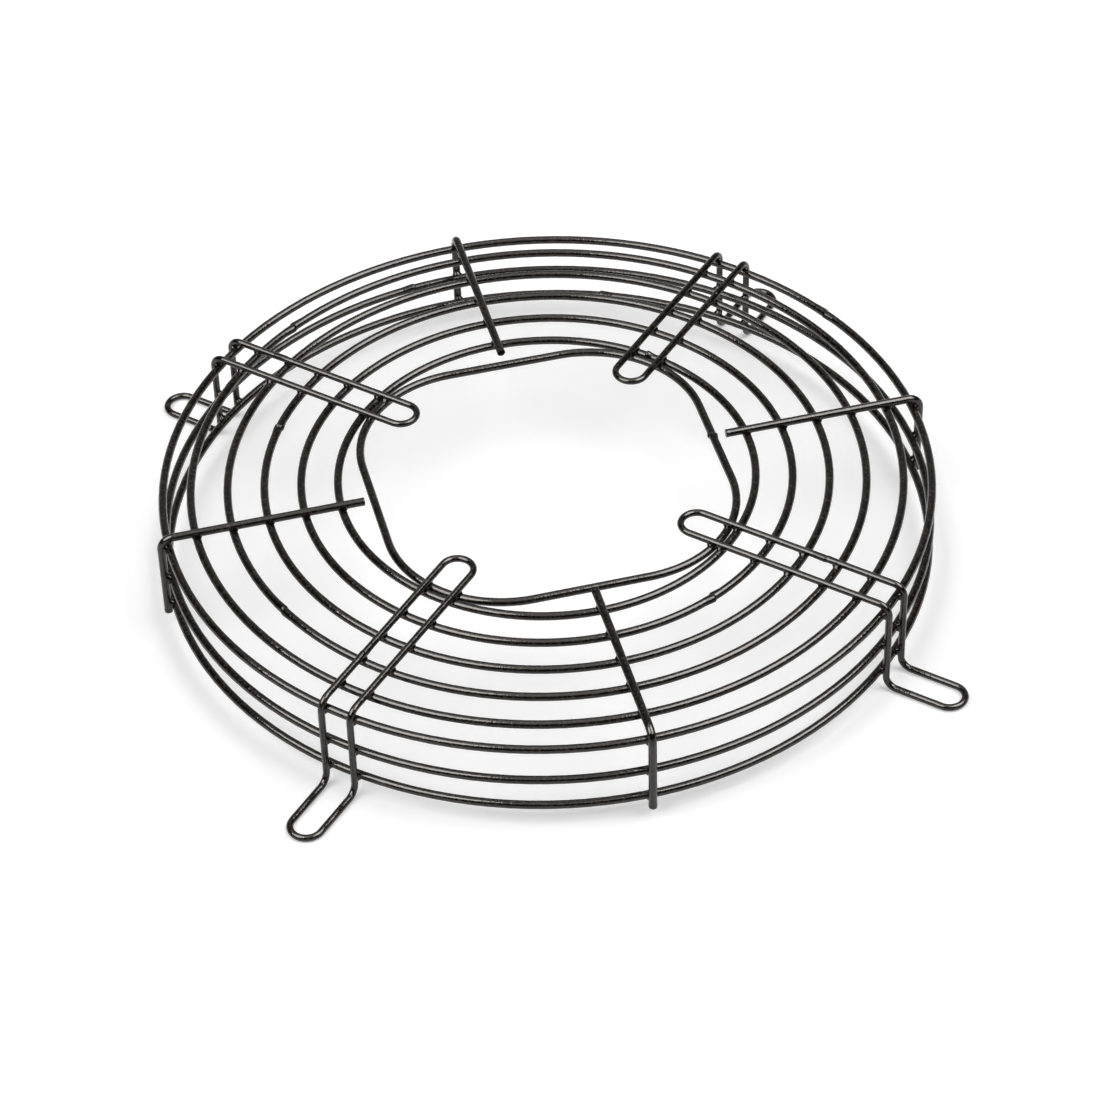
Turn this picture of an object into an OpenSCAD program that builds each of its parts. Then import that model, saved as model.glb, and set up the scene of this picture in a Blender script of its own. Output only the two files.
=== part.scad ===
// Wire fan guard: a shallow basket of welded round wire.
// Nine closed rings are held by four legs, each one closed loop of wire that runs over the
// flat grille, down the side wall and out into a looped foot, and by four L-shaped spokes.
// Frame: Z up, millimetres. The origin is on the fan's axis, on the face that the feet stand on.
// The legs lie over the X and Y axes, and the spokes lie midway between them.

/* [Wire] */
// Diameter of the wire that the rings are made from
ring_wire_d = 3; // [2:0.1:4]
// Diameter of the wire that the four legs are bent from
leg_wire_d = 2.5; // [1.8:0.1:3.6]
// Diameter of the wire that the four spokes are bent from
spoke_wire_d = 3; // [2:0.1:4]
// Inside radius of each bend between the grille, the side wall and a foot
bend_inside_r = 3; // [2:0.25:5]
// How far a weld presses a leg or a spoke down onto the ring that it crosses
weld_set_down = 0.3; // [0.1:0.05:0.5]
// Gap left between a ring and the seat that the weld presses into a leg or a spoke
weld_gap = 0.01; // [0.01:0.01:0.05]

/* [Flat grille] */
// How many round rings lie flat, inside the rim ring
flat_ring_count = 5; // [2:1:5]
// Radius of the first flat ring, to the middle of its wire
first_ring_r = 75; // [72:0.5:80]
// Step in radius from one flat ring to the next
ring_pitch = 13.2; // [9:0.1:14]
// Radius of the rim ring and of both side rings, to the middle of the wire
rim_ring_r = 138; // [134:0.5:160]

/* [Motor opening] */
// Clear width between opposite sides of the rounded square ring
motor_opening_w = 123; // [117:0.5:130]
// Gap between the corners of the square ring and the first flat ring
motor_ring_corner_gap = 0.4; // [0.2:0.1:1]

/* [Side wall] */
// Height of the flat rings above the feet's mounting face, to the middle of their wire
grille_h = 36; // [32:0.5:60]
// How far the rim ring sits below the flat rings
rim_ring_drop = 1.6; // [1.2:0.1:4]
// How far the upper side ring sits below the flat rings
upper_side_drop = 16.1; // [10:0.1:20]
// How far the lower side ring sits below the flat rings
lower_side_drop = 28.1; // [24:0.1:28.5]

/* [Legs] */
// Clear width of the slot between the two runs of a leg, which takes a screw
leg_slot_w = 9; // [6:0.25:12]
// Distance from the axis to the inner edge of a leg's inner loop
leg_inner_r = 54.6; // [48:0.2:60]
// Distance from the axis to the outer edge of a foot loop
foot_outer_r = 169; // [162:0.5:185]

/* [Spokes] */
// How far a spoke reaches inward past the middle of the first flat ring
spoke_overhang = 8; // [3:0.25:8.5]
// How far a spoke's lower end reaches below the middle of the lower side ring
spoke_tail = 3.4; // [1.8:0.1:3.5]

/* [Hidden] */
LEGS = ["right_leg", "back_leg", "left_leg", "front_leg"];
SPOKES = ["back_right_spoke", "back_left_spoke", "front_left_spoke", "front_right_spoke"];
FLAT_RINGS = [for (i = [1 : flat_ring_count]) str("flat_ring_", i)];

// Smoothness of a ring's sweep, of a bend, and of the wire's own section
ring_fn = 240;
bend_fn = 96;
wire_fn = 32;
coat_black = [0.10, 0.095, 0.09];

// Heights of the side wall's rings
rim_ring_z = grille_h - rim_ring_drop;
upper_side_z = grille_h - upper_side_drop;
lower_side_z = grille_h - lower_side_drop;

// A length rounded to the nearest micrometre, so that wires placed end to end meet exactly
function micron(length) = round(length * 1000) / 1000;

// Rounded square, to the middle of its wire: distance from the axis to a side and to a corner's
// tip, and the radius of a corner. A side's straight part reaches side_half_l each way.
side_r = (motor_opening_w + ring_wire_d) / 2;
corner_tip_r = first_ring_r - ring_wire_d - motor_ring_corner_gap;
corner_r = micron((side_r - corner_tip_r * cos(45)) / (1 - cos(45)));
side_half_l = side_r - corner_r;

// How far the middle of a wire that crosses a ring lies from the middle of the ring's wire
function crossing(wire_d) = (ring_wire_d + wire_d) / 2 - weld_set_down;
// Radius of a bend, to the middle of the wire
function bend_r(wire_d) = bend_inside_r + wire_d / 2;

// Legs: half the spacing of the two runs, and the centres of the two loops
leg_run_y = (leg_slot_w + leg_wire_d) / 2;
leg_inner_centre_r = leg_inner_r + leg_wire_d / 2 + leg_run_y;
foot_centre_r = foot_outer_r - leg_wire_d / 2 - leg_run_y;
foot_z = leg_wire_d / 2;

// Radius of a flat ring, counted from the innermost
function flat_ring_r(i) = first_ring_r + (i - 1) * ring_pitch;
// Distance along a run from the axis to where it is r from the axis, off to one side by y
function along_run(r, y) = sqrt(r * r - y * y);

// Wire along +X from the origin
module straight_wire(wire_d, length) {
    rotate([0, 90, 0]) cylinder(d = wire_d, h = length, $fn = wire_fn);
}

// Wire bent about Z at the origin, starting on the +X side and turning anticlockwise
module bent_wire(wire_d, r, angle, fn = bend_fn) {
    rotate_extrude(angle = angle, $fn = fn) translate([r, 0]) circle(d = wire_d, $fn = wire_fn);
}

// Closed round ring of ring wire. A grown ring is the seat that it presses into another wire.
module round_ring(r, z, grow = 0) {
    translate([0, 0, z]) bent_wire(ring_wire_d + 2 * grow, r, 360, ring_fn);
}

// Rounded square ring around the motor opening, with its corners over the X and Y axes
module square_ring(grow = 0) {
    wire_d = ring_wire_d + 2 * grow;
    translate([0, 0, grille_h]) rotate(45) for (side = [0 : 3]) rotate(90 * side) {
        translate([side_r, -side_half_l, 0]) rotate(90) straight_wire(wire_d, 2 * side_half_l);
        translate([side_half_l, side_half_l, 0]) bent_wire(wire_d, corner_r, 90, ring_fn);
    }
}

// Every round ring, grown by the weld's gap
module round_ring_seats() {
    for (i = [1 : flat_ring_count]) round_ring(flat_ring_r(i), grille_h, weld_gap);
    for (z = [rim_ring_z, upper_side_z, lower_side_z]) round_ring(rim_ring_r, z, weld_gap);
}

// Wire that runs outward from inner_r over the grille, bends, and goes down the side wall to
// end_z. It lies y off the radial line, and its wall stands wall_x out along that line.
module run_and_wall(wire_d, inner_x, wall_x, run_z, end_z, y = 0) {
    r = bend_r(wire_d);
    translate([inner_x, y, run_z]) straight_wire(wire_d, wall_x - r - inner_x);
    translate([wall_x - r, y, run_z - r]) rotate([90, 0, 0]) bent_wire(wire_d, r, 90);
    translate([wall_x, y, run_z - r]) rotate([0, 90, 0]) straight_wire(wire_d, run_z - r - end_z);
}

// Bend at the bottom of a leg's wall and the straight wire of the foot, out to the foot's loop
module foot_run(wall_x, y) {
    r = bend_r(leg_wire_d);
    translate([wall_x + r, y, foot_z + r]) rotate([90, 180, 0]) bent_wire(leg_wire_d, r, 90);
    translate([wall_x + r, y, foot_z]) straight_wire(leg_wire_d, foot_centre_r - wall_x - r);
}

// Leg: one closed loop of wire, over the grille, down the wall and out along the foot
module leg() {
    run_z = grille_h + crossing(leg_wire_d);
    wall_x = micron(along_run(rim_ring_r + crossing(leg_wire_d), leg_run_y));
    wall_end_z = foot_z + bend_r(leg_wire_d);
    color(coat_black) difference() {
        union() {
            translate([leg_inner_centre_r, 0, run_z]) rotate(90) bent_wire(leg_wire_d, leg_run_y, 180);
            for (y = [-leg_run_y, leg_run_y]) {
                run_and_wall(leg_wire_d, leg_inner_centre_r, wall_x, run_z, wall_end_z, y);
                foot_run(wall_x, y);
            }
            translate([foot_centre_r, 0, foot_z]) rotate(-90) bent_wire(leg_wire_d, leg_run_y, 180);
        }
        round_ring_seats();
        square_ring(weld_gap);
    }
}

// Spoke: one straight wire bent into an L, cut square at both ends
module spoke() {
    run_z = grille_h + crossing(spoke_wire_d);
    wall_x = rim_ring_r + crossing(spoke_wire_d);
    color(coat_black) difference() {
        run_and_wall(spoke_wire_d, first_ring_r - spoke_overhang, wall_x, run_z, lower_side_z - spoke_tail);
        round_ring_seats();
    }
}

module motor_ring() {
    color(coat_black) square_ring();
}

module flat_ring(i) {
    color(coat_black) round_ring(flat_ring_r(i), grille_h);
}

module side_ring(z) {
    color(coat_black) round_ring(rim_ring_r, z);
}

motor_ring();
for (i = [1 : flat_ring_count]) flat_ring(i);
side_ring(rim_ring_z);  // rim_ring
side_ring(upper_side_z);  // upper_side_ring
side_ring(lower_side_z);  // lower_side_ring
for (i = [0 : 3]) rotate(90 * i) leg();
for (i = [0 : 3]) rotate(90 * i + 45) spoke();
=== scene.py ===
"""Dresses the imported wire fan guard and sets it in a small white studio.

The guard's nine rings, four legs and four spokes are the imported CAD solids, and each keeps its
mesh and its place. This script gives them their black coat and adds what the wire carries: the
fused metal at each crossing, the butt welds that close the rings and legs, and the coated ends
of the spokes. Lengths are in metres.
"""

import logging
import math
import random
from dataclasses import dataclass, field
from enum import Enum
from typing import Callable, Iterable, Sequence

import bmesh
import bpy
from mathutils import Matrix, Quaternion, Vector

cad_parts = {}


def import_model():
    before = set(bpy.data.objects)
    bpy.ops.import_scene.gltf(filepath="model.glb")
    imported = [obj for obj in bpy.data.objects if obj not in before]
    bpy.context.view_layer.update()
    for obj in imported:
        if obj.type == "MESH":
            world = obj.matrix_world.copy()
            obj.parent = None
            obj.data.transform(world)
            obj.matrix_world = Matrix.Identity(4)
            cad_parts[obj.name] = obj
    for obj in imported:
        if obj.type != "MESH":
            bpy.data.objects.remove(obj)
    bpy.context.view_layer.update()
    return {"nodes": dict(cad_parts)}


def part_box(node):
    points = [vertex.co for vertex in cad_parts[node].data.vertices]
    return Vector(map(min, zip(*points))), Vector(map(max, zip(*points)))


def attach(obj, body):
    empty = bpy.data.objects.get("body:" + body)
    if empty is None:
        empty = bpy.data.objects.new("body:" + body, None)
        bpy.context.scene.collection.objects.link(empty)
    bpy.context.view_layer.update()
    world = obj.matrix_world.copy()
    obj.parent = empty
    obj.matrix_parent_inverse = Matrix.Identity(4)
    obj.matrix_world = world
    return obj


MM = 0.001
BODY = "root"
UP = Vector((0.0, 0.0, 1.0))
TANGENT_STEP = 0.05 * MM  # how far to each side of a point its wire's tangent is taken
NOISE_RANGE = (0.3, 0.7)  # where nearly all of a noise texture's values lie
Colour = tuple[float, float, float, float]
Span = tuple[float, float]
Socket = bpy.types.NodeSocket
log = logging.getLogger("fan_guard")


class WireKind(Enum):
    """The three wires that the guard is made from, each by a material slot's name."""

    RING = "ring_wire_coat"
    LEG = "leg_wire_coat"
    SPOKE = "spoke_wire_coat"


@dataclass(frozen=True)
class WireSizes:
    """Radii of the wires.

    Attributes:
        ring: Radius of the ring wire.
        leg: Radius of the leg wire.
        spoke: Radius of the spoke wire.
    """

    ring: float = 1.5 * MM
    leg: float = 1.25 * MM
    spoke: float = 1.5 * MM


def direction(angle: float) -> Vector:
    """Returns the unit vector in the XY plane at an angle from +X, in radians."""
    return Vector((math.cos(angle), math.sin(angle), 0.0))


def lamp_way(azimuth_deg: float, elevation_deg: float) -> Vector:
    """Works out the direction of a lamp.

    Args:
        azimuth_deg: Where it hangs, turned from -Y towards +X.
        elevation_deg: Its height above the floor, as an angle.

    Returns:
        The unit vector from the guard to the lamp.
    """
    elevation = math.radians(elevation_deg)
    level = direction(math.radians(azimuth_deg - 90.0)) * math.cos(elevation)
    return level + UP * math.sin(elevation)


def add_object(name: str, data: bpy.types.ID) -> bpy.types.Object:
    """Adds an object to the scene.

    Args:
        name: Its name.
        data: The mesh, camera or light that it shows.

    Returns:
        The object.
    """
    made = bpy.data.objects.new(name, data)
    bpy.context.scene.collection.objects.link(made)
    return made


def smooth_step(share: float) -> float:
    """Returns share eased from 0 to 1, held at both ends."""
    held = min(max(share, 0.0), 1.0)
    return held * held * (3.0 - 2.0 * held)


# Finishes


class NodeGraph:
    """A thin helper that adds and links shader nodes."""

    def __init__(self, owner: bpy.types.Material | bpy.types.World) -> None:
        """Gives a material or a world an empty node tree.

        Args:
            owner: The material or the world.
        """
        owner.use_nodes = True
        self.tree = owner.node_tree
        self.tree.nodes.clear()

    def add(
        self, kind: str, settings: dict | None = None, inputs: dict | None = None
    ) -> bpy.types.Node:
        """Adds one node.

        Args:
            kind: The node's Blender type, such as ShaderNodeTexNoise.
            settings: Attributes to set on the node.
            inputs: Socket values, or output sockets to link, by input name or number.

        Returns:
            The new node.
        """
        node = self.tree.nodes.new(kind)
        for name, value in (settings or {}).items():
            setattr(node, name, value)
        for name, value in (inputs or {}).items():
            if isinstance(value, Socket):
                self.tree.links.new(value, node.inputs[name])
            else:
                node.inputs[name].default_value = value
        return node

    def combine(self, operation: str, one: Socket, two: Socket | float) -> Socket:
        """Adds an operation on two values, such as ADD, and returns its result's socket."""
        return self.add("ShaderNodeMath", {"operation": operation}, {0: one, 1: two}).outputs[0]

    def noise(self, place: Socket, scale: float, detail: float) -> Socket:
        """Adds noise with scale cells per metre and detail octaves, and returns its socket."""
        inputs = {"Vector": place, "Scale": scale, "Detail": detail}
        return self.add("ShaderNodeTexNoise", inputs=inputs).outputs["Fac"]

    def remap(self, value: Socket, source: Span, target: Span) -> Socket:
        """Maps a value from one range to another, held at both ends.

        Args:
            value: The socket to map.
            source: Lowest and highest value that comes in.
            target: The values that those become.

        Returns:
            The mapped socket.
        """
        inputs = {"Value": value, "From Min": source[0], "From Max": source[1]}
        inputs.update({"To Min": target[0], "To Max": target[1]})
        return self.add("ShaderNodeMapRange", inputs=inputs).outputs["Result"]


@dataclass(frozen=True)
class BlackCoat:
    """Baked black dip coat on steel wire: glossy, with an orange peel and a fine mottle.

    Attributes:
        name: The material's name.
        deep: Colour where the film is thick.
        thin: Warmer colour where the film is thin over the steel.
        roughness: Lowest and highest roughness of the film.
        gloss_level: Strength of the film's gloss.
        gloss_tint: Colour cast of the film's gloss.
        gloss_scale: Cells of the change in roughness per metre.
        gloss_from: Values of that noise where the roughness is lowest and highest.
        mottle_scale: Cells of the mottle per metre.
        mottle_from: Values of that noise where the mottle starts and where it is full.
        mottle_share: How much of the thin colour the mottle shows.
        drift_scale: Cells of the slow change in the film per metre.
        drift_share: How much of the thin colour that change shows.
        peel_scale: Cells of orange peel per metre.
        peel_height: Height of the orange peel.
        grain_scale: Cells of the fine grain per metre.
        grain_height: Height of the fine grain.
    """

    name: str
    deep: Colour = (0.0016, 0.0011, 0.0007, 1.0)
    thin: Colour = (0.0360, 0.0272, 0.0190, 1.0)
    roughness: Span = (0.02, 0.12)
    gloss_level: float = 0.5
    gloss_tint: Colour = (1.0, 0.955, 0.91, 1.0)
    gloss_scale: float = 1170.0
    gloss_from: Span = (0.36, 0.66)
    mottle_scale: float = 900.0
    mottle_from: Span = (0.50, 0.63)
    mottle_share: float = 0.85
    drift_scale: float = 110.0
    drift_share: float = 0.14
    peel_scale: float = 560.0
    peel_height: float = 0.060 * MM
    grain_scale: float = 1400.0
    grain_height: float = 0.025 * MM

    def material(self) -> bpy.types.Material:
        """Makes the finish.

        Returns:
            The procedural material.
        """
        made = bpy.data.materials.new(self.name)
        graph = NodeGraph(made)
        place = graph.add("ShaderNodeTexCoord").outputs["Object"]
        drift_noise = graph.noise(place, self.drift_scale, 2.0)
        drift = graph.remap(drift_noise, NOISE_RANGE, (0.0, self.drift_share))
        mottle_noise = graph.noise(place, self.mottle_scale, 3.0)
        mottle = graph.remap(mottle_noise, self.mottle_from, (0.0, self.mottle_share))
        mix = {"Factor": graph.combine("ADD", drift, mottle), "A": self.deep, "B": self.thin}
        colour = graph.add("ShaderNodeMix", {"data_type": "RGBA"}, mix)
        gloss_noise = graph.noise(place, self.gloss_scale, 2.0)
        gloss = graph.remap(gloss_noise, self.gloss_from, self.roughness)
        shader = graph.add(
            "ShaderNodeBsdfPrincipled",
            inputs={
                "Base Color": colour.outputs["Result"],
                "Roughness": gloss,
                "Specular IOR Level": self.gloss_level,
                "Specular Tint": self.gloss_tint,
                "Normal": self._relief(graph, place),
            },
        )
        graph.add("ShaderNodeOutputMaterial", inputs={"Surface": shader.outputs["BSDF"]})
        return made

    def _relief(self, graph: NodeGraph, place: Socket) -> Socket:
        """Adds the orange peel and, over it, the fine grain.

        Args:
            graph: The material's graph.
            place: The coordinate socket.

        Returns:
            The normal socket.
        """
        height = graph.noise(place, self.peel_scale, 2.0)
        inputs = {"Height": height, "Distance": self.peel_height}
        peel = graph.add("ShaderNodeBump", inputs=inputs).outputs["Normal"]
        height = graph.noise(place, self.grain_scale, 1.0)
        inputs = {"Height": height, "Distance": self.grain_height, "Normal": peel}
        return graph.add("ShaderNodeBump", inputs=inputs).outputs["Normal"]


@dataclass(frozen=True)
class PaintedShadeWeldCoat(BlackCoat):
    """The same coat over the welds, lumpier, with darker colours and a weaker gloss that paint
    shade into the crooks of the crossings; the butt welds wear it too.
    """

    # Painted shade: darker colours and a weaker gloss than the wire's own coat.
    deep: Colour = (0.0018, 0.0014, 0.0010, 1.0)
    thin: Colour = (0.0060, 0.0042, 0.0026, 1.0)
    roughness: Span = (0.05, 0.16)
    gloss_level: float = 0.36
    peel_scale: float = 520.0


@dataclass(frozen=True)
class WhiteFloor:
    """Matt white floor that the camera and every reflection see as white, with its shadows.

    Attributes:
        albedo: How much of the lamps' light it gives back.
        lift: Light that it adds for camera, glossy and transmission rays.
        patch_scale: Cells of its faint patches per metre.
        patch_depth: How far their albedo lies above or below the mean.
    """

    albedo: float = 0.85
    lift: float = 0.33
    patch_scale: float = 9.0
    patch_depth: float = 0.006

    def material(self) -> bpy.types.Material:
        """Makes the finish.

        Returns:
            The floor's material.
        """
        made = bpy.data.materials.new("white_floor")
        graph = NodeGraph(made)
        rays = graph.add("ShaderNodeLightPath").outputs
        seen = graph.combine("MAXIMUM", rays["Is Camera Ray"], rays["Is Glossy Ray"])
        seen = graph.combine("MAXIMUM", seen, rays["Is Transmission Ray"])
        lift = graph.combine("MULTIPLY", seen, self.lift)
        place = graph.add("ShaderNodeTexCoord").outputs["Object"]
        tones = (self.albedo - self.patch_depth, self.albedo + self.patch_depth)
        tone = graph.remap(graph.noise(place, self.patch_scale, 3.0), NOISE_RANGE, tones)
        matt = graph.add("ShaderNodeBsdfDiffuse", inputs={"Color": tone})
        glow = graph.add("ShaderNodeEmission", inputs={"Strength": lift})
        both = graph.add("ShaderNodeAddShader", inputs={0: matt.outputs[0], 1: glow.outputs[0]})
        graph.add("ShaderNodeOutputMaterial", inputs={"Surface": both.outputs[0]})
        return made


# Mesh pieces


class MeshPiece:
    """A mesh of one or more parts, which is then dressed and set on the guard's body."""

    def __init__(self, name: str, parts: Iterable["WeldFillet | ButtWeld | CutEnd"]) -> None:
        """Fills the mesh.

        Args:
            name: The piece's name.
            parts: What the mesh holds.
        """
        self.name = name
        self.bm = bmesh.new()
        for part in parts:
            part.add_to(self)

    def tube(self, stations: Sequence[Sequence[Vector]], closed: bool) -> None:
        """Adds a closed skin through a row of outlines that have as many points each.

        Args:
            stations: The outlines, in order along the tube.
            closed: True where the last outline joins the first, False where both ends are capped.
        """
        rows = [[self.bm.verts.new(point) for point in outline] for outline in stations]
        pairs = list(zip(rows, rows[1:]))
        if closed:
            pairs.append((rows[-1], rows[0]))
        count = len(rows[0])
        for one, two in pairs:
            for i in range(count):
                j = (i + 1) % count
                self.bm.faces.new((one[i], one[j], two[j], two[i]))
        if not closed:
            self.bm.faces.new(list(reversed(rows[0])))
            self.bm.faces.new(rows[-1])

    def finish(self, material: bpy.types.Material, sharp_deg: float = 50.0) -> None:
        """Turns the mesh into an object on the guard's body, and reports it.

        Args:
            material: Its finish.
            sharp_deg: Edges that turn by more than this stay sharp.
        """
        bmesh.ops.recalc_face_normals(self.bm, faces=self.bm.faces)
        mesh = bpy.data.meshes.new(self.name)
        self.bm.to_mesh(mesh)
        self.bm.free()
        mesh.polygons.foreach_set("use_smooth", [True] * len(mesh.polygons))
        mesh.set_sharp_from_angle(angle=math.radians(sharp_deg))
        mesh.materials.append(material)
        piece = add_object(self.name, mesh)
        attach(piece, BODY)
        log.info("%s: %d faces", piece.name, len(mesh.polygons))


@dataclass(frozen=True)
class Crossing:
    """A place where a leg or spoke wire is welded across a ring.

    Attributes:
        ring_point: Point on the ring's centreline.
        ring_way: Unit tangent of the ring there.
        wire_way: Unit direction of the crossing wire.
        normal: Unit vector from the ring's centreline to the wire's.
        apart: Distance between the two centrelines.
        ring_radius: Radius of the ring wire.
        wire_radius: Radius of the crossing wire.
    """

    ring_point: Vector
    ring_way: Vector
    wire_way: Vector
    normal: Vector
    apart: float
    ring_radius: float
    wire_radius: float


@dataclass(frozen=True)
class WeldFillet:
    """Fused metal and coat in the crook of a crossing, as a ball rolled between the wires.

    Attributes:
        crossing: The place that it fills.
        ball: Mean radius of the ball.
        lump: How far the ball's radius swings round the weld, as a share of it.
        phases: Angles of the two swings, in radians.
        second_swing: Size of the swing that comes twice round, against the first.
        bury: How deep its edges run into the wires.
        spine_steps: Sections round the weld.
        arc_steps: Steps across the hollow of each section.
    """

    crossing: Crossing
    ball: float
    lump: float
    phases: tuple[float, float]
    second_swing: float = 0.6
    bury: float = 0.12 * MM
    spine_steps: int = 36
    arc_steps: int = 6

    def add_to(self, piece: MeshPiece) -> None:
        """Adds the fillet to a piece's mesh."""
        turns = (2.0 * math.pi * (i + 0.5) / self.spine_steps for i in range(self.spine_steps))
        piece.tube([self._section(turn) for turn in turns], closed=True)

    def _ball_radius(self, turn: float) -> float:
        """Returns the ball's radius at an angle round the weld."""
        twice = self.second_swing * math.cos(2.0 * turn + self.phases[1])
        return self.ball * (1.0 + self.lump * (math.cos(turn + self.phases[0]) + twice))

    @staticmethod
    def _side_reach(reach: float, height: float, turn_share: float) -> float:
        """Returns how far off a wire's side the ball's centre lies, signed as turn_share is."""
        return math.copysign(math.sqrt(max(reach**2 - height**2, 0.0)), turn_share)

    def _section(self, turn: float) -> list[Vector]:
        """Works out one section of the fillet.

        Args:
            turn: Angle round the weld, in radians.

        Returns:
            The section's outline: the hollow from ring to wire, then its two buried points.
        """
        c = self.crossing
        ball = self._ball_radius(turn)
        ring_reach = c.ring_radius + ball
        wire_reach = c.wire_radius + ball
        low = c.apart - wire_reach
        height = low + (ring_reach - low) * math.sin(turn) ** 2
        across_ring = self._side_reach(ring_reach, height, math.cos(turn))
        across_wire = self._side_reach(wire_reach, c.apart - height, math.sin(turn))
        ring_side = c.ring_way.cross(c.normal)
        wire_side = c.normal.cross(c.wire_way)
        flat = c.wire_way * (across_ring / c.wire_way.dot(ring_side))
        flat = flat + c.ring_way * (across_wire / c.ring_way.dot(wire_side))
        centre = c.ring_point + flat + c.normal * height
        to_ring = -(ring_side * across_ring + c.normal * height) / ring_reach
        to_wire = -(wire_side * across_wire + c.normal * (height - c.apart)) / wire_reach
        between = to_ring.angle(to_wire)
        hollow = []
        for i in range(self.arc_steps + 1):
            share = i / self.arc_steps
            ways = to_ring * math.sin((1.0 - share) * between) + to_wire * math.sin(share * between)
            hollow.append(centre + ways * (ball / math.sin(between)))
        buried = ball + self.bury
        return hollow + [centre + to_wire * buried, centre + to_ring * buried]


@dataclass
class Welder:
    """Shapes the fused metal at the crossings, each a little differently.

    Attributes:
        ball: Mean radius of the ball that shapes a fillet.
        spread: Share by which that radius differs from weld to weld.
        lump: Share by which it swings round one weld.
        seed: Seed of those differences.
        rng: Draws those differences.
    """

    ball: float = 0.64 * MM
    spread: float = 0.28
    lump: float = 0.18
    seed: int = 11
    rng: random.Random = field(init=False)

    def __post_init__(self) -> None:
        """Seeds the differences between welds."""
        self.rng = random.Random(self.seed)

    def fillets(self, crossings: Iterable[Crossing]) -> list[WeldFillet]:
        """Works out a fillet for each crossing.

        Args:
            crossings: The places.

        Returns:
            The fillets.
        """
        full_turn = 2.0 * math.pi
        made = []
        for crossing in crossings:
            ball = self.ball * (1.0 + self.rng.uniform(-self.spread, self.spread))
            phases = (self.rng.uniform(0.0, full_turn), self.rng.uniform(0.0, full_turn))
            made.append(WeldFillet(crossing, ball, self.lump, phases))
        return made


@dataclass(frozen=True)
class WireLine:
    """A stretch of a wire's centreline, straight or curved, by distance along it.

    Attributes:
        point: Gives the centreline's point at a distance from the joint.
        side: Unit vector across the wire at the joint, which offsets are measured along.
        radius: Radius of the wire.
    """

    point: Callable[[float], Vector]
    side: Vector
    radius: float

    @classmethod
    def straight(cls, joint: Vector, way: Vector, side: Vector, radius: float) -> "WireLine":
        """Returns the line that runs through a joint in one unit direction."""
        return cls(lambda along: joint + way * along, side, radius)

    def way(self, along: float) -> Vector:
        """Returns the unit tangent at a distance from the joint."""
        ahead = self.point(along + TANGENT_STEP)
        return (ahead - self.point(along - TANGENT_STEP)).normalized()

    def outline(self, along: float, offset: Vector, radii: Sequence[float]) -> list[Vector]:
        """Works out a section across the wire.

        Args:
            along: Distance from the joint.
            offset: How far the section's centre stands off the centreline.
            radii: Radius of the section in each direction, evenly round it.

        Returns:
            The section's points.
        """
        way = self.way(along)
        across = (self.side - way * self.side.dot(way)).normalized()
        third = way.cross(across)
        centre = self.point(along) + offset
        points = []
        for i, radius in enumerate(radii):
            turn = 2.0 * math.pi * i / len(radii)
            points.append(centre + (across * math.cos(turn) + third * math.sin(turn)) * radius)
        return points


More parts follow.
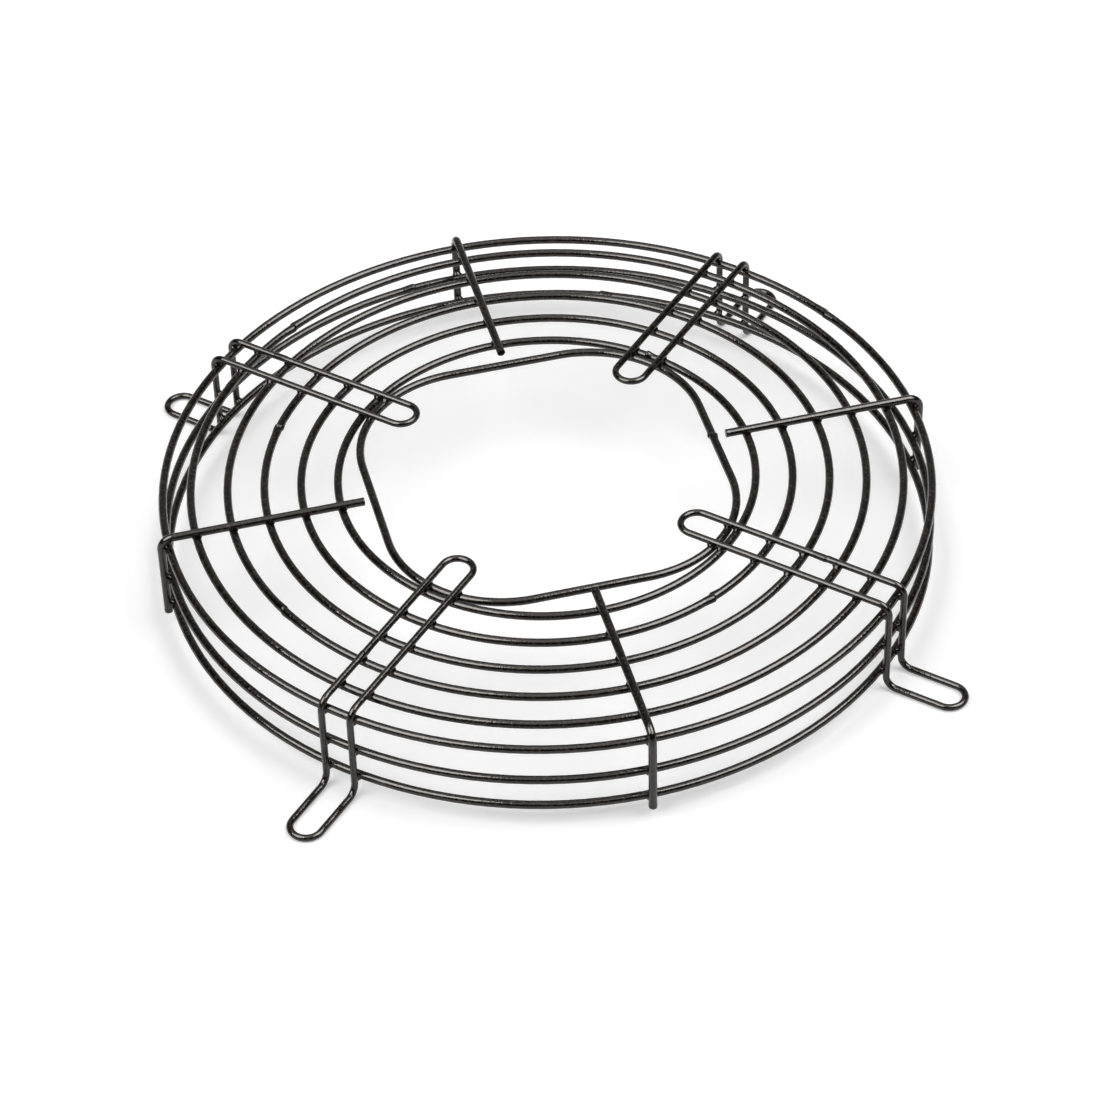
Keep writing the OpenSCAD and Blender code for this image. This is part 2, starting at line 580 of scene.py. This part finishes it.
@dataclass(frozen=True)
class ButtWeld:
    """The joint where a wire's two ends are welded: both ends stand a little off, with a ridge.

    Attributes:
        line: The wire that it closes.
        step: How far each end stands off, to opposite sides.
        lean: Direction of the step across the wire, in radians from the line's side.
        ridge: Height of the flash ridge at the joint.
        seed: Seed of the ridge's lumps.
        reach: Length over which each end leans off.
        skin: How far an end's skin stands proud of the wire.
        stations: Sections along an end, as shares of its reach, up to the joint.
        inset: How much smaller the end's last section is, next to the joint.
        gap: Distance of that section from the joint.
        ridge_reach: How far the ridge reaches to each side of the joint.
        ridge_steps: Sections from the ridge's edge to its middle.
        ridge_sink: How deep the ridge's edges lie in the wire.
        lump_mean: Mean height of the ridge's lumps, as a share of the ridge.
        lump_least: Their least height, as such a share.
        around: Points round a section.
    """

    line: WireLine
    step: float
    lean: float
    ridge: float
    seed: int
    reach: float = 5.0 * MM
    skin: float = 0.03 * MM
    stations: tuple[float, ...] = (0.0, 0.08, 0.25, 0.45, 0.65, 0.82, 0.93, 1.0)
    inset: float = 0.10 * MM
    gap: float = 0.02 * MM
    ridge_reach: float = 0.75 * MM
    ridge_steps: int = 4
    ridge_sink: float = 0.06 * MM
    lump_mean: float = 0.45
    lump_least: float = 0.1
    around: int = 24

    def add_to(self, piece: MeshPiece) -> None:
        """Adds both ends and the ridge to a piece's mesh."""
        for outlines in (self._end(-1.0), self._end(1.0), self._ridge()):
            piece.tube(outlines, closed=False)

    def _step_way(self) -> Vector:
        """Returns the unit direction in which the ends stand off."""
        return Quaternion(self.line.way(0.0), self.lean) @ self.line.side

    def _end(self, end: float) -> list[list[Vector]]:
        """Works out the skin of one leaning end.

        Args:
            end: -1 or 1, the side of the joint.

        Returns:
            The outlines from where the end starts to lean to the joint.
        """
        outlines = []
        for share in self.stations:
            along = end * self.reach * (1.0 - share)
            offset = self._step_way() * (end * self.step * smooth_step(share))
            risen = min(share / self.stations[1], 1.0)
            radius = self.line.radius + self.skin * (2.0 * risen - 1.0)
            if share == self.stations[-1]:
                radius -= self.inset
                along = end * self.gap
            outlines.append(self.line.outline(along, offset, [radius] * self.around))
        return outlines

    def _ridge(self) -> list[list[Vector]]:
        """Works out the flash that stands up at the joint.

        Returns:
            Its outlines along the wire.
        """
        rng = random.Random(self.seed)
        lumps = []
        for n in (1, 2, 3, 5):
            lumps.append((n, rng.uniform(0.0, 2.0 * math.pi), rng.uniform(0.25, 0.6) / n))
        outlines = []
        for i in range(2 * self.ridge_steps + 1):
            place = i / self.ridge_steps - 1.0
            rise = math.cos(0.5 * math.pi * place) ** 2
            radii = []
            for k in range(self.around):
                turn = 2.0 * math.pi * k / self.around
                swings = sum(size * math.cos(n * turn + phase) for n, phase, size in lumps)
                lump = max(self.lump_mean + swings, self.lump_least)
                radii.append(self.line.radius - self.ridge_sink + self.ridge * rise * lump)
            outlines.append(self.line.outline(self.ridge_reach * place, Vector(), radii))
        return outlines


@dataclass(frozen=True)
class RingJoint:
    """How the two ends of a ring met when they were butt-welded.

    Attributes:
        angle_deg: Where the joint lies round the guard's axis, from +X.
        step_mm: How far each end stands off.
        lean_deg: Direction of that step across the wire, from the wire's outer side.
        ridge_mm: Height of the flash ridge.
        reach_mm: Length over which each end leans off.
    """

    angle_deg: float
    step_mm: float
    lean_deg: float
    ridge_mm: float
    reach_mm: float

    def weld(self, line: WireLine, seed: int) -> ButtWeld:
        """Returns the joint on a ring's centreline, with a seed for its ridge's lumps."""
        step, ridge, reach = self.step_mm * MM, self.ridge_mm * MM, self.reach_mm * MM
        return ButtWeld(line, step, math.radians(self.lean_deg), ridge, seed, reach)


@dataclass(frozen=True)
class CutEnd:
    """Coat over the square-cut end of a spoke, with its edge rounded and a slight bead behind.

    Attributes:
        tip: Centre of the cut face.
        way: Unit direction out of the cut face.
        radius: Radius of the wire.
        film: Thickness of the coat over the face.
        bead: How far the bead stands proud of the wire.
        length: How far back along the wire the bead reaches.
        around: Points round the wire.
    """

    tip: Vector
    way: Vector
    radius: float
    film: float
    bead: float
    length: float
    around: int = 28

    def add_to(self, piece: MeshPiece) -> None:
        """Adds the end to a piece's mesh.

        Args:
            piece: The piece.
        """
        across = self.way.orthogonal().normalized()
        third = self.way.cross(across)
        outlines = []
        for along, radius in self._profile():
            centre = self.tip + self.way * along
            ring = []
            for i in range(self.around):
                turn = 2.0 * math.pi * i / self.around
                ring.append(centre + (across * math.cos(turn) + third * math.sin(turn)) * radius)
            outlines.append(ring)
        piece.tube(outlines, closed=False)

    def _profile(self) -> list[tuple[float, float]]:
        """Works out the coat's outline, from inside the wire over the bead and onto the face.

        Returns:
            Each point's distance out from the cut face, and its radius.
        """
        edge = self.radius + self.bead
        return [
            (-self.length, self.radius - 0.04 * MM),
            (-0.85 * self.length, self.radius + 0.01 * MM),
            (-0.45 * self.length, self.radius + 0.6 * self.bead),
            (-0.20 * self.length, edge),
            (-0.06 * self.length, edge - 0.03 * MM),
            (0.45 * self.film, edge - 0.06 * MM),
            (0.85 * self.film, edge - 0.16 * MM),
            (self.film, edge - 0.30 * MM),
            (self.film, 0.5 * self.radius),
        ]


@dataclass(frozen=True)
class Dresser:
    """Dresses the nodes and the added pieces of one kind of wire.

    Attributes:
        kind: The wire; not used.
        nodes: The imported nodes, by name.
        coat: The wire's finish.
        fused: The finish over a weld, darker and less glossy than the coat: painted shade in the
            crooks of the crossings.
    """

    kind: WireKind
    nodes: dict[str, bpy.types.Object]
    coat: bpy.types.Material
    fused: bpy.types.Material

    def coat_node(self, name: str) -> None:
        """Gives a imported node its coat.

        Args:
            name: The node's name.
        """
        node = self.nodes[name]
        for slot in node.material_slots:
            slot.material = self.coat
        log.info("%s: %d faces, %s", node.name, len(node.data.polygons), self.coat.name)

    def add_welds(self, name: str, welds: Iterable[WeldFillet | ButtWeld]) -> None:
        """Adds a piece of fused metal to the wire."""
        MeshPiece(name, welds).finish(self.fused)


# Parts of the guard


@dataclass
class RoundRing:
    """A round ring of the guard, measured on its CAD node.

    Attributes:
        node: The node's name.
        wire: Radius of its wire.
        radius: Radius of its centreline.
        height: Height of its centreline.
    """

    node: str
    wire: float
    radius: float = field(init=False)
    height: float = field(init=False)

    def __post_init__(self) -> None:
        """Reads the ring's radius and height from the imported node."""
        low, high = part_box(self.node)
        self.radius = (high[0] - low[0]) / 2.0 - self.wire
        self.height = (high[2] + low[2]) / 2.0

    def at(self, angle: float) -> tuple[Vector, Vector]:
        """Returns the centreline's point at an angle, in radians, and the unit tangent there."""
        out = direction(angle)
        return out * self.radius + UP * self.height, UP.cross(out)

    def line(self, angle: float) -> WireLine:
        """Returns the centreline near a joint at an angle, in radians, with its side outwards."""
        out = direction(angle)
        return WireLine(lambda along: self.at(angle + along / self.radius)[0], out, self.wire)


@dataclass
class SquareRing:
    """The rounded square ring round the motor opening.

    Attributes:
        node: The node's name.
        wire: Radius of its wire.
        side: Distance from the axis to a side's centreline.
        tip: Distance from the axis to a corner's centreline, over the middle of a leg.
        corner: Radius of a corner's centreline.
        height: Height of the centreline.
    """

    node: str
    wire: float
    side: float = 63.0 * MM
    tip: float = field(init=False)
    corner: float = field(init=False)
    height: float = field(init=False)

    def __post_init__(self) -> None:
        """Reads the ring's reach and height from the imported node, and works out its corners."""
        low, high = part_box(self.node)
        self.tip = (high[0] - low[0]) / 2.0 - self.wire
        self.height = (high[2] + low[2]) / 2.0
        slant = math.cos(math.radians(45.0))
        self.corner = (self.side - self.tip * slant) / (1.0 - slant)

    def corner_point(self, angle: float, across: float) -> tuple[Vector, Vector]:
        """Finds where the corner over a leg lies a distance off the leg's middle.

        Args:
            angle: The leg's angle, in radians.
            across: Distance off the leg's middle.

        Returns:
            The point on the centreline and the unit tangent there.
        """
        turn = math.asin(across / self.corner)
        out = direction(angle + turn)
        centre = direction(angle) * (self.tip - self.corner)
        return centre + out * self.corner + UP * self.height, UP.cross(out)

    def line(self, angle: float) -> WireLine:
        """Works out a straight side's centreline, for a joint on it.

        Args:
            angle: The joint's angle round the axis, in radians.

        Returns:
            The centreline, with its side pointing away from the axis.
        """
        quarter = math.radians(90.0)
        out = direction(quarter * math.floor(angle / quarter) + math.radians(45.0))
        joint = direction(angle) * (self.side / direction(angle).dot(out)) + UP * self.height
        return WireLine.straight(joint, UP.cross(out), out, self.wire)


@dataclass
class Grille:
    """Every ring of the guard, with the butt welds that close them.

    Attributes:
        wires: Radii of the wires.
        joints: The rings' butt welds, in the order of the rings.
        square: The ring round the motor opening.
        flat: The flat rings, from the innermost outwards.
        wall: The rings of the side wall, from the rim down.
    """

    wires: WireSizes
    joints: tuple[RingJoint, ...] = (
        RingJoint(angle_deg=47.8, step_mm=0.42, lean_deg=190.0, ridge_mm=0.22, reach_mm=2.6),
        RingJoint(angle_deg=90.6, step_mm=0.80, lean_deg=75.0, ridge_mm=0.34, reach_mm=2.6),
        RingJoint(angle_deg=341.2, step_mm=0.55, lean_deg=170.0, ridge_mm=0.30, reach_mm=4.0),
        RingJoint(angle_deg=195.0, step_mm=0.42, lean_deg=20.0, ridge_mm=0.58, reach_mm=4.0),
        RingJoint(angle_deg=248.1, step_mm=0.26, lean_deg=60.0, ridge_mm=0.13, reach_mm=5.0),
        RingJoint(angle_deg=168.6, step_mm=0.46, lean_deg=190.0, ridge_mm=0.34, reach_mm=5.0),
        RingJoint(angle_deg=71.1, step_mm=0.40, lean_deg=20.0, ridge_mm=0.24, reach_mm=5.0),
        RingJoint(angle_deg=142.4, step_mm=0.34, lean_deg=280.0, ridge_mm=0.34, reach_mm=5.0),
        RingJoint(angle_deg=112.0, step_mm=0.34, lean_deg=120.0, ridge_mm=0.30, reach_mm=5.0),
    )
    square: SquareRing = field(init=False)
    flat: list[RoundRing] = field(init=False)
    wall: list[RoundRing] = field(init=False)

    def __post_init__(self) -> None:
        """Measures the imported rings."""
        wire = self.wires.ring
        self.square = SquareRing("motor_ring", wire)
        self.flat = [RoundRing(f"flat_ring_{i}", wire) for i in range(1, 6)]
        wall = ("rim_ring", "upper_side_ring", "lower_side_ring")
        self.wall = [RoundRing(name, wire) for name in wall]

    def dress(self, dresser: Dresser) -> None:
        """Gives the rings their coat and adds their butt welds.

        Args:
            dresser: Dresses the rings' wire.
        """
        rings = [self.square, *self.flat, *self.wall]
        for ring in rings:
            dresser.coat_node(ring.node)
        for seed, (ring, joint) in enumerate(zip(rings, self.joints)):
            line = ring.line(math.radians(joint.angle_deg))
            dresser.add_welds(f"{ring.node}_butt_weld", [joint.weld(line, seed)])


@dataclass
class Leg:
    """A leg: one closed loop of wire over the grille, down the wall and out to a foot.

    Attributes:
        node: The node's name.
        wires: Radii of the wires.
        grille: The rings that it crosses.
        joint_along: Distance of its butt weld from the axis.
        joint_side: 1 or -1, the run that the butt weld is in.
        joint_step: How far the butt weld's ends stand off.
        joint_ridge: Height of the butt weld's ridge.
        joint_turn_deg: How much further round the wire the next leg's ends stand off.
        joint_seed: Seed of the first leg's ridge.
        angle: Its angle round the axis, in radians.
        half_slot: Distance of each run's centreline off the leg's middle.
        run_height: Height of the runs' centrelines.
    """

    node: str
    wires: WireSizes
    grille: Grille
    joint_along: float
    joint_side: float
    joint_step: float = 0.16 * MM
    joint_ridge: float = 0.16 * MM
    joint_turn_deg: float = 40.0
    joint_seed: int = 40
    angle: float = field(init=False)
    half_slot: float = field(init=False)
    run_height: float = field(init=False)

    def __post_init__(self) -> None:
        """Reads the leg's direction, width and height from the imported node."""
        low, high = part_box(self.node)
        self.angle = math.atan2((low[1] + high[1]) / 2.0, (low[0] + high[0]) / 2.0)
        self.half_slot = min(high[0] - low[0], high[1] - low[1]) / 2.0 - self.wires.leg
        self.run_height = high[2] - self.wires.leg

    def crossings(self) -> list[Crossing]:
        """Finds where the leg's two runs and walls are welded across a ring.

        Returns:
            Every such place.
        """
        way = direction(self.angle)
        wall_apart = self.run_height - self.grille.flat[0].height
        wires = (self.wires.ring, self.wires.leg)
        found = []
        for across in (-self.half_slot, self.half_slot):
            under = [self.grille.square.corner_point(self.angle, across)]
            for ring in self.grille.flat:
                under.append(ring.at(self.angle + math.asin(across / ring.radius)))
            for point, tangent in under:
                apart = self.run_height - point.z
                found.append(Crossing(point, tangent, way, UP, apart, *wires))
            for ring in self.grille.wall:
                angle = self.angle + math.asin(across / (ring.radius + wall_apart))
                found.append(Crossing(*ring.at(angle), UP, direction(angle), wall_apart, *wires))
        return found

    def _joint_line(self) -> WireLine:
        """Works out the centreline of the run that the butt weld is in.

        Returns:
            The centreline.
        """
        way = direction(self.angle)
        side = UP.cross(way)
        across = self.joint_side * self.half_slot
        joint = way * self.joint_along + side * across + UP * self.run_height
        return WireLine.straight(joint, way, side, self.wires.leg)

    def dress(self, dresser: Dresser, welder: Welder, index: int) -> None:
        """Gives the leg its coat and adds its welds.

        Args:
            dresser: Dresses the legs' wire.
            welder: Shapes the welds at the crossings.
            index: The leg's place in their order, which sets its butt weld apart.
        """
        dresser.coat_node(self.node)
        dresser.add_welds(f"{self.node}_welds", welder.fillets(self.crossings()))
        lean = math.radians(self.joint_turn_deg * index)
        seed = self.joint_seed + index
        joint = ButtWeld(self._joint_line(), self.joint_step, lean, self.joint_ridge, seed)
        dresser.add_welds(f"{self.node}_butt_weld", [joint])


@dataclass
class Spoke:
    """A spoke: one straight wire bent into an L, cut square at both ends.

    Attributes:
        node: The node's name.
        wires: Radii of the wires.
        grille: The rings that it crosses.
        sharp_deg: Edges of the cut ends' coat that turn by more than this stay sharp.
        angle: Its angle round the axis, in radians.
        run_height: Height of its run's centreline.
        foot_height: Height of its lower end.
        inner: Distance from the axis to its inner end.
    """

    node: str
    wires: WireSizes
    grille: Grille
    sharp_deg: float = 24.0
    angle: float = field(init=False)
    run_height: float = field(init=False)
    foot_height: float = field(init=False)
    inner: float = field(init=False)

    def __post_init__(self) -> None:
        """Reads the spoke's direction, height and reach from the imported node."""
        low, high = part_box(self.node)
        centre = (low + high) / 2.0
        self.angle = math.atan2(centre[1], centre[0])
        self.run_height = high[2] - self.wires.spoke
        self.foot_height = low[2]
        nearest = min(abs(low[0]), abs(high[0]))
        corner = self.wires.spoke * abs(math.sin(self.angle))
        self.inner = (nearest + corner) / abs(math.cos(self.angle))

    @property
    def apart(self) -> float:
        """Distance between the spoke's centreline and a ring's at a weld."""
        return self.run_height - self.grille.flat[0].height

    def crossings(self) -> list[Crossing]:
        """Finds where the spoke is welded across a ring.

        Returns:
            Every such place.
        """
        out = direction(self.angle)
        sizes = (self.apart, self.wires.ring, self.wires.spoke)
        over = [Crossing(*ring.at(self.angle), out, UP, *sizes) for ring in self.grille.flat]
        beside = [Crossing(*ring.at(self.angle), UP, out, *sizes) for ring in self.grille.wall]
        return over + beside

    def cut_ends(self) -> list[CutEnd]:
        """Works out the coat on the spoke's ends.

        Returns:
            The inner end and the lower end, which the coat ran down to.
        """
        out = direction(self.angle)
        radius = self.wires.spoke
        tip = out * self.inner + UP * self.run_height
        inner = CutEnd(tip, -out, radius, film=0.10 * MM, bead=0.04 * MM, length=1.6 * MM)
        tip = out * (self.grille.wall[0].radius + self.apart) + UP * self.foot_height
        lower = CutEnd(tip, -UP, radius, film=0.16 * MM, bead=0.09 * MM, length=2.4 * MM)
        return [inner, lower]

    def dress(self, dresser: Dresser, welder: Welder) -> None:
        """Gives the spoke its coat and adds its welds and the coat on its cut ends.

        Args:
            dresser: Dresses the spokes' wire.
            welder: Shapes the welds at the crossings.
        """
        dresser.coat_node(self.node)
        dresser.add_welds(f"{self.node}_welds", welder.fillets(self.crossings()))
        ends = MeshPiece(f"{self.node}_cut_ends", self.cut_ends())
        ends.finish(dresser.coat, self.sharp_deg)


# Studio


@dataclass
class GuardCamera:
    """A long lens that looks down on the guard from in front of its right front spoke.

    Attributes:
        azimuth_deg: Where the camera stands, turned from -Y towards +X.
        elevation_deg: Its angle above the grille.
        distance: Its distance from the grille's centre.
        aim_nearer: How far in front of the centre it aims, on the grille's plane.
        aim_right: How far to the right of the centre it aims.
        roll_deg: Its roll about its own axis.
        lens_mm: Focal length.
        sensor_mm: Width of the sensor.
        clip: Nearest and furthest distance that it shows.
    """

    azimuth_deg: float = 31.634
    elevation_deg: float = 41.258
    distance: float = 1397.82 * MM
    aim_nearer: float = 41.15 * MM
    aim_right: float = 0.34 * MM
    roll_deg: float = -1.752
    lens_mm: float = 127.34
    sensor_mm: float = 36.0
    clip: Span = (0.05, 200.0)

    def place(self, grille_height: float) -> None:
        """Adds the camera to the scene.

        Args:
            grille_height: Height of the flat rings.
        """
        azimuth = math.radians(self.azimuth_deg)
        elevation = math.radians(self.elevation_deg)
        nearer = direction(azimuth - math.radians(90.0))
        right = direction(azimuth)
        centre = UP * grille_height
        eye = centre + (nearer * math.cos(elevation) + UP * math.sin(elevation)) * self.distance
        aim = centre + nearer * self.aim_nearer + right * self.aim_right
        turn = (aim - eye).to_track_quat("-Z", "Y").to_matrix()
        turn = turn @ Matrix.Rotation(math.radians(self.roll_deg), 3, "Z")
        data = bpy.data.cameras.new("camera")
        data.lens = self.lens_mm
        data.sensor_width = self.sensor_mm
        data.clip_start, data.clip_end = self.clip
        camera = add_object("camera", data)
        camera.matrix_world = Matrix.Translation(eye) @ turn.to_4x4()
        bpy.context.scene.camera = camera


@dataclass
class SoftLamp:
    """The matt light of a large soft lamp, as a sun with a wide face.

    Attributes:
        name: The lamp's name.
        azimuth_deg: Where it hangs, turned from -Y towards +X.
        elevation_deg: Its height above the floor, as an angle.
        width_deg: How wide its face looks from the guard.
        strength: Light on a face that is turned to it.
    """

    name: str
    azimuth_deg: float
    elevation_deg: float
    width_deg: float
    strength: float

    def place(self) -> None:
        """Adds the lamp to the scene."""
        data = bpy.data.lights.new(self.name, "SUN")
        data.energy = self.strength
        data.angle = math.radians(self.width_deg)
        lamp = add_object(self.name, data)
        lamp.rotation_mode = "QUATERNION"
        way = lamp_way(self.azimuth_deg, self.elevation_deg)
        lamp.rotation_quaternion = way.to_track_quat("Z", "Y")
        lamp.visible_glossy = False


@dataclass
class LampFace:
    """The round white face of a soft lamp at its real distance, which shows in gloss alone.

    Attributes:
        name: The face's name.
        azimuth_deg: Where it hangs, turned from -Y towards +X.
        elevation_deg: Its height above the grille, as an angle.
        distance: Its distance from the grille's centre.
        radius: Its radius.
        brightness: How bright it looks, where 1 is white.
    """

    name: str
    azimuth_deg: float
    elevation_deg: float
    distance: float
    radius: float
    brightness: float

    def place(self) -> None:
        """Adds the face to the scene, turned to the guard."""
        data = bpy.data.lights.new(self.name, "AREA")
        data.shape = "DISK"
        data.size = 2.0 * self.radius
        data.energy = self.brightness * math.pi * math.pi * self.radius**2
        face = add_object(self.name, data)
        way = lamp_way(self.azimuth_deg, self.elevation_deg)
        turn = way.to_track_quat("Z", "Y").to_matrix().to_4x4()
        face.matrix_world = Matrix.Translation(way * self.distance) @ turn
        face.visible_diffuse = False
        face.visible_camera = False


@dataclass
class Studio:
    """White floor, dim walls, two soft lamps above and the lamp faces that the gloss shows.

    Attributes:
        camera: The camera that the lamps are set out round.
        floor_radius: Radius of the floor.
        floor_sides: Sides of the floor's outline.
        dim: Light from the wall behind the camera and from the wall behind the guard.
        dim_turn: Where it starts to rise and where it is full, as a cosine from straight behind.
        pale: Light that the foot of the walls adds.
        pale_to: Where that light starts to fade and where it ends, as the sine of the angle up.
        ceiling: Light that the ceiling adds.
        ceiling_from: Where that light starts and where it is full, as the sine of the angle up.
    """

    camera: GuardCamera
    floor_radius: float = 40.0
    floor_sides: int = 96
    dim: Span = (0.06, 0.60)
    dim_turn: Span = (0.45, 0.95)
    pale: float = 0.55
    pale_to: Span = (0.02, 0.12)
    ceiling: float = 0.55
    ceiling_from: Span = (0.80, 0.97)

    def build(self) -> None:
        """Adds the floor, the walls' light and the lamps."""
        self._floor()
        self._walls()
        for lamp in self._lamps():
            lamp.place()
            log.info("%s placed", lamp.name)
        bpy.context.scene.view_settings.view_transform = "Standard"

    def _lamps(self) -> list[SoftLamp | LampFace]:
        """Sets out the lamps for matt surfaces, and the lamp faces that show in gloss.

        Returns:
            The lamps and faces.
        """
        front = self.camera.azimuth_deg
        return [
            SoftLamp("left_lamp", front - 68.0, 54.0, width_deg=46.0, strength=1.38),
            SoftLamp("right_lamp", front + 84.0, 59.0, width_deg=46.0, strength=1.46),
            LampFace("left_face", front - 60.5, 51.5, distance=1.12, radius=0.485, brightness=9.4),
            LampFace("right_face", front + 74.0, 55.5, distance=1.4, radius=0.545, brightness=8.6),
            LampFace(
                "right_back_face", front + 118.0, 61.0, distance=2.86, radius=0.74, brightness=4.9
            ),
            LampFace("ceiling_face", front, 88.0, distance=3.0, radius=2.43, brightness=1.4),
        ]

    def _floor(self) -> None:
        """Adds the round floor under the guard's feet."""
        bm = bmesh.new()
        rim = []
        for i in range(self.floor_sides):
            turn = 2.0 * math.pi * i / self.floor_sides
            rim.append(bm.verts.new(direction(turn) * self.floor_radius))
        bm.faces.new(rim)
        mesh = bpy.data.meshes.new("floor")
        bm.to_mesh(mesh)
        bm.free()
        mesh.materials.append(WhiteFloor().material())
        floor = add_object("floor", mesh)

    def _walls(self) -> None:
        """Adds the light of the walls: pale near the floor and dim above."""
        world = bpy.data.worlds.new("studio")
        bpy.context.scene.world = world
        graph = NodeGraph(world)
        place = graph.add("ShaderNodeTexCoord").outputs["Generated"]
        height = graph.add("ShaderNodeSeparateXYZ", inputs={"Vector": place}).outputs["Z"]
        away = -direction(math.radians(self.camera.azimuth_deg - 90.0))
        dot = graph.add("ShaderNodeVectorMath", {"operation": "DOT_PRODUCT"}, {0: place, 1: away})
        walls = graph.remap(dot.outputs["Value"], self.dim_turn, self.dim)
        foot = graph.remap(height, self.pale_to, (self.pale, 0.0))
        ceiling = graph.remap(height, self.ceiling_from, (0.0, self.ceiling))
        strength = graph.combine("ADD", graph.combine("ADD", walls, foot), ceiling)
        light = graph.add("ShaderNodeBackground", inputs={"Strength": strength})
        graph.add("ShaderNodeOutputWorld", inputs={"Surface": light.outputs["Background"]})


def main() -> None:
    """Builds the studio and dresses the guard, part by part."""
    logging.basicConfig(level=logging.INFO, format="%(name)s: %(message)s")
    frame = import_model()
    nodes = frame["nodes"]
    wires = WireSizes()
    grille = Grille(wires)
    camera = GuardCamera()
    camera.place(grille.flat[0].height)
    Studio(camera).build()

    # The welds' coat is darker and less glossy than the wire's: painted shade in the crooks of the
    # crossings, which the butt welds share.
    fused = PaintedShadeWeldCoat("weld_coat_painted_shade").material()
    grille.dress(Dresser(WireKind.RING, nodes, BlackCoat("ring_coat").material(), fused))
    leg_dresser = Dresser(WireKind.LEG, nodes, BlackCoat("leg_coat").material(), fused)
    spoke_dresser = Dresser(WireKind.SPOKE, nodes, BlackCoat("spoke_coat").material(), fused)
    welder = Welder()

    legs = (
        Leg("right_leg", wires, grille, joint_along=110.0 * MM, joint_side=1.0),
        Leg("back_leg", wires, grille, joint_along=115.6 * MM, joint_side=-1.0),
        Leg("left_leg", wires, grille, joint_along=115.6 * MM, joint_side=-1.0),
        Leg("front_leg", wires, grille, joint_along=113.0 * MM, joint_side=-1.0),
    )
    for index, leg in enumerate(legs):
        leg.dress(leg_dresser, welder, index)

    for name in ("back_right_spoke", "back_left_spoke", "front_left_spoke", "front_right_spoke"):
        Spoke(name, wires, grille).dress(spoke_dresser, welder)


if __name__ == "__main__":
    main()
